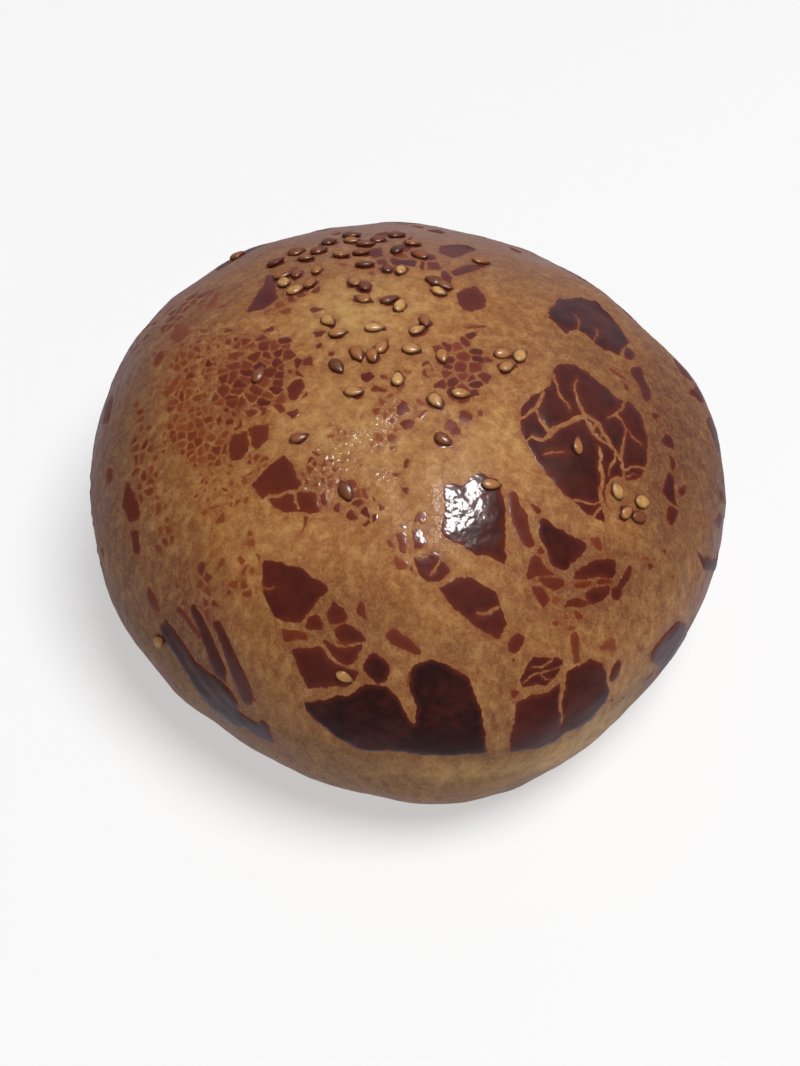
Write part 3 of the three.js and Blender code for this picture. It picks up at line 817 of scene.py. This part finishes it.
def insideDistance(u, v, corners):
    # Distance to the nearest side of the polygon, above 0 where a ray to the right crosses an odd number of
    # sides and below 0 elsewhere
    a = np.array(corners, float)
    b = np.roll(a, -1, axis=0)
    side = b - a
    du, dv = u[..., None] - a[:, 0], v[..., None] - a[:, 1]
    along = np.clip((du * side[:, 0] + dv * side[:, 1]) / (side**2).sum(1), 0, 1)
    gap = np.hypot(du - along * side[:, 0], dv - along * side[:, 1]).min(-1)
    straddles = (a[:, 1] > v[..., None]) != (b[:, 1] > v[..., None])
    rise = np.where(side[:, 1] == 0, 1e-9, side[:, 1])
    crosses = straddles & (du < side[:, 0] * dv / rise)
    return np.where(crosses.sum(-1) % 2 == 1, gap, -gap)


def rounded(field):
    # Each point becomes the mean of itself and its eight neighbours, twice over
    rows, columns = field.shape
    for _ in range(2):
        wide = np.pad(field, 1, mode="edge")
        field = sum(wide[i : i + rows, j : j + columns] for i in range(3) for j in range(3)) / 9
    return field


def lineGap(u, v, line, first, last, vary):
    # Distance to the nearest of the line's straight parts, less half the line's width there, which changes
    # evenly from first to last on the way along it, times vary
    a, b = np.array(line[:-1], float), np.array(line[1:], float)
    side = b - a
    lengths = np.hypot(side[:, 0], side[:, 1])
    du, dv = u[..., None] - a[:, 0], v[..., None] - a[:, 1]
    along = np.clip((du * side[:, 0] + dv * side[:, 1]) / lengths**2, 0, 1)
    gap = np.hypot(du - along * side[:, 0], dv - along * side[:, 1])
    nearest = gap.argmin(-1)
    before = np.cumsum(lengths) - lengths
    there = np.take_along_axis(along, nearest[..., None], -1)[..., 0] * lengths[nearest] + before[nearest]
    return gap.min(-1) - (first + (last - first) * there / lengths.sum()) / 2 * vary + wash["closed"]


def chipField(u, v, place, length, width, turn, rng):
    # An ellipse whose size goes up and down three and five times round: (1 - distance / size) * half width
    c, s = math.cos(math.radians(turn)), math.sin(math.radians(turn))
    along, across = (u - place[0]) * c + (v - place[1]) * s, (v - place[1]) * c - (u - place[0]) * s
    around = np.arctan2(across / width, along / length)
    phases = rng.uniform(0, 6.3, 2)
    size = 1.08 + 0.11 * np.cos(3 * around + phases[0]) + 0.06 * np.cos(5 * around + phases[1])
    return (1 - np.hypot(along / length, across / width) * 2 / size) * min(length, width) / 2


def crackleCentres(patches, rng):
    # A shaken grid of centres over each patch, leaving out what an earlier patch covers; the centres near a
    # patch's border are in the net but hidden. Columns: u, v, half crack width, darkness, 1 where shown
    rows = []
    shake, hidden, (most, less) = wash["shaken"], wash["hidden"], wash["thinning"]
    for (cu, cv), (halfU, halfV), turn, cell, gap, dark, kept in patches:
        count = int(max(halfU, halfV) * hidden / cell) + 2
        grid = np.stack(np.meshgrid(*[np.arange(-count, count + 1)] * 2), -1).reshape(-1, 2) * cell
        grid = grid + rng.uniform(-shake, shake, grid.shape) * cell
        c, s = math.cos(math.radians(turn)), math.sin(math.radians(turn))
        spot = np.stack([cu + grid[:, 0] * c - grid[:, 1] * s, cv + grid[:, 0] * s + grid[:, 1] * c], 1)
        reach = np.hypot(grid[:, 0] / halfU, grid[:, 1] / halfV)
        spot, reach = spot[reach < hidden], reach[reach < hidden]
        for (pu, pv), (pastU, pastV), pastTurn, *_ in patches[: [p[0] for p in patches].index((cu, cv))]:
            c, s = math.cos(math.radians(pastTurn)), math.sin(math.radians(pastTurn))
            du, dv = spot[:, 0] - pu, spot[:, 1] - pv
            free = np.hypot((du * c + dv * s) / pastU, (dv * c - du * s) / pastV) > 1
            spot, reach = spot[free], reach[free]
        n = len(spot)
        shown = reach * rng.uniform(*wash["patchEdge"], n) < 1
        shown = shown & (rng.uniform(size=n) < kept * (most - less * reach))
        tones = np.clip(dark * rng.uniform(*wash["tones"], n), 0, 1)
        rows.append(np.stack([spot[:, 0], spot[:, 1], np.full(n, gap / 2), tones, shown], 1))
    return np.concatenate(rows)


def crackleField(u, v, centres):
    # Voronoi cells: the distance to the border between the nearest centre and another one is
    # (d2^2 - d1^2) / (2 distance between the two centres). A soft minimum of these rounds the cells' corners;
    # less half the crack
    away = np.hypot(u[..., None] - centres[:, 0], v[..., None] - centres[:, 1])
    nearest = away.argmin(-1)
    d1 = away.min(-1)
    gaps = centres[:, None, :2] - centres[None, :, :2]
    between = np.hypot(gaps[..., 0], gaps[..., 1]) + 99 * np.eye(len(centres))
    border = (away**2 - d1[..., None] ** 2) / (2 * between[nearest])
    np.put_along_axis(border, nearest[..., None], 99, -1)
    inside = -wash["softened"] * np.log(np.exp(-border / wash["softened"]).sum(-1)) - centres[nearest, 2]
    return np.where(centres[nearest, 4] > 0, inside, -1.0), centres[nearest, 3]


def washField(u, v, front):
    # The largest of all the flakes' inside distances, less the cracks, and the darkness of that flake. The
    # outlined flakes come first, the net of fine cracks fills what they leave, and wash lies round each seed,
    # dark also as painted shade at the seed's foot.
    rng = np.random.default_rng(7)
    flat = np.stack([u, v, 0 * u], -1)
    for number, (length, size) in enumerate(wash["raggedness"]):
        u = u + size * waves3d(flat, length, 40 + number)
        v = v + size * waves3d(flat, length, 50 + number)

    def window(low, high):
        # The part of the grid between two corners
        rows = (u > low[0]).any(1) & (u < high[0]).any(1)
        columns = (v > low[1]).any(0) & (v < high[1]).any(0)
        return np.ix_(rows, columns) if rows.any() and columns.any() else None

    def lay(layer, low, high, shape):
        # Where the shape's inside distance is the larger one, it and its darkness replace the layer's, up to
        # 1 mm outside the two corners
        part = window(np.array(low) - 1, np.array(high) + 1)
        if part is None:
            return
        field, tone = layer
        inside, dark = shape(u[part], v[part])
        tone[part] = np.where(inside > field[part], dark, tone[part])
        field[part] = np.maximum(field[part], inside)

    net = np.full(u.shape, -1.0), np.zeros(u.shape)
    centres = crackleCentres(crackles if front else backCrackles, rng)
    tile, past = wash["tile"]
    for cu in np.arange(u.min(), u.max(), tile):
        for cv in np.arange(v.min(), v.max(), tile):
            middle = [cu + tile / 2, cv + tile / 2]
            close = centres[(np.abs(centres[:, :2] - middle) < tile / 2 + past + tile * (not front)).all(1)]
            if len(close) > 2 and close[:, 4].any():
                lay(net, (cu + 1, cv + 1), (cu + tile - 1, cv + tile - 1),
                    lambda a, b: crackleField(a, b, close))
    length, size = wash["uneven"]
    net[0][...] += size * waves3d(flat, length, 71)
    down, before, turn, scale = wash["again"]
    if not front:  # a mirror image from the front to the back, turned a little
        c, s = scale * math.cos(math.radians(turn)), scale * math.sin(math.radians(turn))
        u, v = u * c + v * s, u * s - v * c
    plates = np.full(u.shape, -9.0), np.zeros(u.shape)
    for dark, corners in flakes:
        middle = np.mean(corners, 0)
        if not front and (np.hypot(*middle) < down or middle[1] > before):
            continue
        lay(plates, np.min(corners, 0), np.max(corners, 0),
            lambda a, b: (rounded(insideDistance(a, b, corners)) + wash["grown"], dark))
    for cu, cv, length, width, turn, dark in chips if front else []:
        chipRng = np.random.default_rng(int(cu * 10 + cv * 1000) % 9999)  # so that each keeps its own shape
        lay(plates, (cu - length, cv - length), (cu + length, cv + length),
            lambda a, b: (chipField(a, b, (cu, cv), length, width, turn, chipRng), dark))
    length, size = wash["frayed"]
    plates[0][...] += size * waves3d(flat, length, 72)
    kept = np.minimum(net[0], -plates[0] - wash["apart"])
    field, tone = np.maximum(kept, plates[0]), np.where(plates[0] > kept, plates[1], net[1])
    for first, last, line in cracks:
        part = window(np.min(line, 0) - 1, np.max(line, 0) + 1)
        length, size = wash["cracksVary"]
        vary = 1 + size * waves3d(flat[part], length, 70)
        field[part] = np.minimum(field[part], lineGap(u[part], v[part], line, first, last, vary))
    # The wash round each seed is dark partly as painted shade at the seed's foot
    pool, dark = wash["pool"]
    around = (seed["length"] + 2 * pool, seed["width"] + 2 * pool)
    for su, sv, turn, _ in seedRows if front else []:
        lay((field, tone), (su - 2, sv - 2), (su + 2, sv + 2),
            lambda a, b: (chipField(a, b, (su, sv), *around, turn, rng), dark))
    return edged(field), tone


def edged(field):
    # Nothing reaches the border of the grid
    field[[0, -1]] = field[:, [0, -1]] = -1
    return field


def flakeNumbers(inside):
    # Each flake's grid points get the lowest number among them: numbers pass to the eight neighbours, and
    # from the point that a number names, until none changes
    none = inside.size
    numbers = np.where(inside, np.arange(none).reshape(inside.shape), none)
    while True:
        padded = np.pad(numbers, 1, constant_values=none)
        lowest = np.minimum.reduce([padded[i : i + inside.shape[0], j : j + inside.shape[1]]
                                    for i in range(3) for j in range(3)])
        lowest = np.where(inside, lowest, none)
        lowest = np.append(lowest.ravel(), none)[lowest]
        if (lowest == numbers).all():
            return numbers
        numbers = lowest


def washGrid(uRange, vRange, step, front):
    # u, v, inside distance and darkness over an even grid, and the grid's step
    u, v = np.meshgrid(np.arange(*uRange, step), np.arange(*vRange, step), indexing="ij")
    return u, v, *washField(u, v, front), step


def stainAt(u, v, grids):
    # exp(-distance to the nearest flake / stain), from the four grid points round each place, weighted by
    # how near they are
    stain = 0
    for gridU, gridV, field, _, step in grids:
        i, j = (u - gridU[0, 0]) / step, (v - gridV[0, 0]) / step
        there = (i > 0) & (j > 0) & (i < field.shape[0] - 1) & (j < field.shape[1] - 1)
        i, j = np.where(there, i, 0), np.where(there, j, 0)
        low, left = i.astype(int), j.astype(int)
        a, b = i - low, j - left
        near = sum(np.abs(1 - p - a) * np.abs(1 - q - b) * field[low + p, left + q]
                   for p in (0, 1) for q in (0, 1))
        stain = np.maximum(stain, there * np.exp(np.minimum(near, 0) / wash["stain"]))
    return stain


def makeFilms(grid, borders):
    # A piece for the flakes whose middle is between two borders, so that no flake is cut in two
    u, v, field, tone, step = grid
    inside = field > 0
    _, flake = np.unique(flakeNumbers(inside)[inside], return_inverse=True)
    middle = np.bincount(flake, u[inside]) / np.bincount(flake)
    share = np.full(u.shape, -1)
    share[inside] = np.digitize(middle, list(borders.values())[:-1])[flake]
    return [filmMesh(name, u, v, np.where(inside & (share != number), -step, field), tone, step)
            for number, name in enumerate(borders)]


def filmMesh(name, u, v, field, tone, step):
    # Triangles of a square grid, cut along the line where the field is zero. Upper side: thickness *
    # (1 - exp(-field / lip)) - buried, plus ripples. The lower side is flat under the crust, and they meet
    # along the cut. Points near it count as a little away from it, or their triangles would be slivers.
    rows, columns = u.shape
    node = np.arange(rows * columns).reshape(rows, columns)
    a, b, c, d = node[:-1, :-1].ravel(), node[1:, :-1].ravel(), node[1:, 1:].ravel(), node[:-1, 1:].ravel()
    even = (np.add.outer(np.arange(rows - 1), np.arange(columns - 1)) % 2 == 0).ravel()
    one = np.stack([a, b, np.where(even, c, d)], 1)
    two = np.stack([np.where(even, a, b), c, d], 1)
    triangles = np.concatenate([one, two])
    u, v, field, tone = u.ravel(), v.ravel(), field.ravel(), tone.ravel()
    least = wash["least"] * step
    field = np.where(field > 0, np.maximum(field, least), np.minimum(field, -least))
    inside = field[triangles] > 0
    total = inside.sum(1)

    def turned(chosen, first):
        # Each chosen triangle with its odd corner brought to the front
        return np.take_along_axis(chosen, (first[:, None] + np.arange(3)) % 3, 1)

    whole = triangles[total == 3]
    single = turned(triangles[total == 1], inside[total == 1].argmax(1))
    double = turned(triangles[total == 2], (~inside[total == 2]).argmax(1))
    pairs = np.concatenate([single[:, [0, 1]], single[:, [0, 2]], double[:, [1, 0]], double[:, [2, 0]]])
    keys, edge = np.unique(pairs[:, 0] * len(u) + pairs[:, 1], return_inverse=True)
    inner, outerNode = keys // len(u), keys % len(u)
    share = field[inner] / (field[inner] - field[outerNode])
    used = np.unique(np.concatenate([whole.ravel(), inner, single[:, 0], double[:, 1:].ravel()]))
    renumber = np.full(len(u), -1)
    renumber[used] = np.arange(len(used))
    rim = len(used) + np.arange(len(keys))
    ones, twos = len(single), len(double)
    cutA, cutB, cutC, cutD = np.split(rim[edge], [ones, 2 * ones, 2 * ones + twos])
    upper = np.concatenate([
        renumber[whole],
        np.stack([renumber[single[:, 0]], cutA, cutB], 1),
        np.stack([renumber[double[:, 1]], renumber[double[:, 2]], cutC], 1),
        np.stack([renumber[double[:, 2]], cutD, cutC], 1),
    ])
    edgeU = u[inner] + share * (u[outerNode] - u[inner])
    edgeV = v[inner] + share * (v[outerNode] - v[inner])
    topU, topV = np.concatenate([u[used], edgeU]), np.concatenate([v[used], edgeV])
    depth = np.concatenate([field[used], 0 * edgeU])
    dark = np.concatenate([tone[used], tone[inner]])
    first, last, gain = wash["pooled"]
    pooled = 1 + gain * np.clip((np.hypot(topU, topV) - first) / (last - first), 0, 1)
    fullness = wash["thickness"] * (wash["palest"] + (1 - wash["palest"]) * dark) * pooled
    level = fullness * (1 - np.exp(-depth / wash["lip"])) - wash["buried"]
    flat = np.stack([topU, topV, 0 * topU], -1)
    blistered = np.clip(spots(topU, topV, wash["blistered"]), wash["calm"], 1)
    level = level + blistered * np.clip(depth / wash["bubblesFrom"], 0, 1) * sum(
        size * waves3d(flat, length, 60 + number) for number, (length, size) in enumerate(wash["ripples"]))
    top, normals = onCrust(topU, topV, level)
    under = top[: len(used)] - normals[: len(used)] * (level[: len(used)] + wash["under"])[:, None]
    flip = upper[:, ::-1]
    lower = np.where(flip < len(used), flip + len(top), flip)
    faces = np.concatenate([upper, lower])
    faces = np.concatenate([faces, faces[:, 2:]], 1)
    looks = {"depth": depth, "darkness": dark, "blistered": blistered}
    looks = {key: np.concatenate([values, values[: len(used)]]) for key, values in looks.items()}
    return meshPiece(name, np.concatenate([top, under]), faces, **looks)


def washMaterial():
    # From light brown to nearly black by the flake's darkness, lighter where the film thins out at its edge
    film = Shader("eggWash")
    patchy = film.spread(film.noise(5.0, 3), 0.35, 0.65, -0.06, 0.03)
    patchy = film.math("ADD", patchy, film.spread(film.noise(1.1, 4, 0.6), 0.35, 0.65, -0.03, 0.03))
    depth, darkness = film.attribute("depth"), film.attribute("darkness")
    thin = film.math("ADD", film.spread(depth, 0.0, 0.26, 0.46, 0.0), film.spread(depth, 0.0, 0.9, 0.18, 0.0))
    level = film.math("ADD", darkness, patchy)
    thin = film.math("MULTIPLY", thin, film.spread(darkness, 0, 1, 0.6, 1.0))
    level = film.math("SUBTRACT", level, thin, True)
    colour = film.ramp(level, [
        (0.0, srgb(146, 88, 46)), (0.28, srgb(134, 68, 35)), (0.6, srgb(106, 44, 26)),
        (0.85, srgb(80, 30, 21)), (1.0, srgb(42, 17, 14)),
    ])
    blistered = film.attribute("blistered")
    blisters = film.math("MULTIPLY", film.spread(film.cells(0.8, "SMOOTH_F1"), 0.0, 0.5), blistered)
    bumps = film.bump(film.math("MULTIPLY", film.noise(1.2, 2), blistered), 0.07, 0.9)
    bumps = film.bump(blisters, 0.032, 0.9, bumps)
    return film.finish(
        Base_Color=colour, Roughness=0.32, Specular_IOR_Level=0.32, Coat_Weight=0.52, Coat_Roughness=0.03,
        Normal=bumps, Coat_Normal=bumps,
    )


def makeSeeds():
    # A seed's width is sin(pi t^0.82)^0.72 (1.04 - 0.1 t) from its round end to its pointed one, and its
    # cross section is a flattened circle. Each seed lies along its turn and is tilted a little.
    rng = np.random.default_rng(3)
    rows = np.array(seedRows)
    count = len(rows)
    t = np.linspace(0, 1, seed["along"])[1:-1]
    spin = np.linspace(0, 2 * math.pi, seed["around"], endpoint=False)
    wide = np.sin(math.pi * t**0.82) ** 0.72 * (1.04 - 0.10 * t)
    x = np.concatenate([(t - 0.5).repeat(len(spin)), [-0.5, 0.5]]) * seed["length"]
    y = np.concatenate([np.outer(wide, np.cos(spin)).ravel(), [0, 0]]) * seed["width"] / 2
    z = np.concatenate([np.outer(wide**0.8, np.sin(spin)).ravel(), [0, 0]]) * seed["thickness"] / 2
    turn = np.radians(rows[:, 2])
    u, v = rows[:, 0], rows[:, 1]
    spot, normal = onCrust(u, v)
    ahead, _ = onCrust(u + 0.1 * np.cos(turn), v + 0.1 * np.sin(turn))
    long = ahead - spot
    long = long / np.linalg.norm(long, axis=1, keepdims=True)
    up = normal + rng.normal(0, seed["tilt"], (count, 3))
    side = np.cross(up, long)
    side = side / np.linalg.norm(side, axis=1, keepdims=True)
    up = np.cross(long, side)
    size = rng.uniform(*seed["sizes"], (count, 3))[:, None]
    lift = seed["thickness"] / 2 - seed["sunk"]
    x, y, z = (size * np.stack([x, y, z], -1)).transpose(2, 0, 1)
    points = (spot + up * lift)[:, None] + (
        x[..., None] * long[:, None] + y[..., None] * side[:, None] + z[..., None] * up[:, None])
    one = ringFaces(len(t), len(spin), turnedOver=True)
    faces = (one + np.arange(count)[:, None, None] * x.shape[1]).reshape(-1, 4)
    return meshPiece("sesame", points.reshape(-1, 3), faces, darkness=rows[:, 3].repeat(x.shape[1]),
                     along=x.ravel() / seed["length"] + 0.5, height=z.ravel())


def seedMaterial():
    # From pale to dark by the seed's darkness, browner towards its point, and dark low on its sides where it
    # meets the crust, which is painted shade together with the wash gathered there
    hull = Shader("toastedSesame")
    colour = hull.ramp(hull.attribute("darkness"), [
        (0.0, srgb(204, 158, 94)), (0.35, srgb(166, 108, 58)),
        (0.65, srgb(124, 68, 38)), (1.0, srgb(70, 38, 30)),
    ])
    # Painted shade, with the wash gathered there: darker low on the seed's sides where it meets the crust
    low = hull.spread(hull.attribute("height"), 0.02, 0.36, 0.9, 0.0)
    colour = hull.mix(hull.spread(hull.noise(0.7, 2), 0.35, 0.7, 0.0, 0.5), colour, srgb(138, 78, 38))
    colour = hull.mix(hull.spread(hull.attribute("along"), 0.55, 1.0, 0.0, 0.45), colour, srgb(120, 66, 34))
    colour = hull.mix(low, colour, srgb(64, 32, 19))
    return hull.finish(Base_Color=colour, Roughness=0.36, Coat_Weight=0.3, Coat_Roughness=0.12,
                       Normal=hull.bump(hull.noise(0.5, 2), 0.05, 0.5))


# The places that flakes are looked for in, and the grid's step
frontGrid = washGrid((-66, 74), (-66, 36), 0.22, True)
backGrid = washGrid((-76, 76), (-40, 76), 0.34, False)
print("the cracks are worked out")

crustPiece = makeCrust((frontGrid, backGrid))
crustPiece.data.materials.append(crustMaterial())
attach(crustPiece, "root")
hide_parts("roll")
print("the crust is baked")

glaze = washMaterial()
# Each piece's flakes have their middle before this u
films = makeFilms(frontGrid, {"egg_wash_left": -13, "egg_wash_middle": 16, "egg_wash_right": 99})
films += makeFilms(backGrid, {"egg_wash_back": 99})
for film in films:
    film.data.materials.append(glaze)
    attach(film, "root")
seeds = makeSeeds()
seeds.data.materials.append(seedMaterial())
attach(seeds, "root")
print("the egg wash and the seeds are on")
